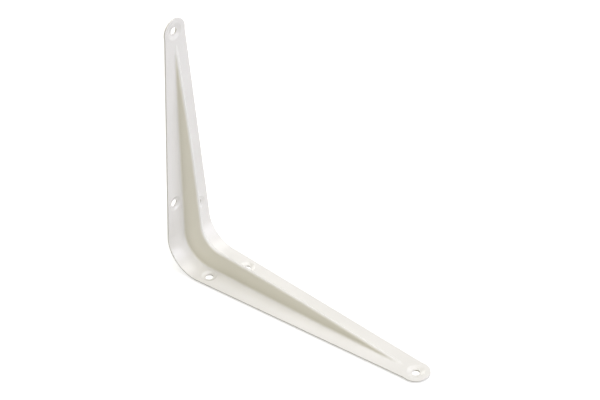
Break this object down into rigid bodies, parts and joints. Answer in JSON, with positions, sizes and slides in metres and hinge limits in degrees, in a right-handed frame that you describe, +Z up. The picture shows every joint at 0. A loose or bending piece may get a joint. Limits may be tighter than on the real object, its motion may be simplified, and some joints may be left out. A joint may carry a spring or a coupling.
{
  "type": "shelf bracket",
  "caption": "One-piece pressed-steel shelf bracket, folded to a right angle, with a tapering hollow stiffening rib and dished screw holes.",
  "frame": {"origin": "centre of the bounding box on the plane the shelf arm stands on, midway between the wall plane and the tip of the shelf arm", "axes": "+X from the wall out along the shelf arm, +Z up along the wall arm, +Y across the width"},
  "size_m": [0.25, 0.048, 0.231],
  "materials": {
    "white_paint": "gloss"
  },
  "bodies": {
    "root": {"bracket": "white_paint"}
  },
  "joints": []
}
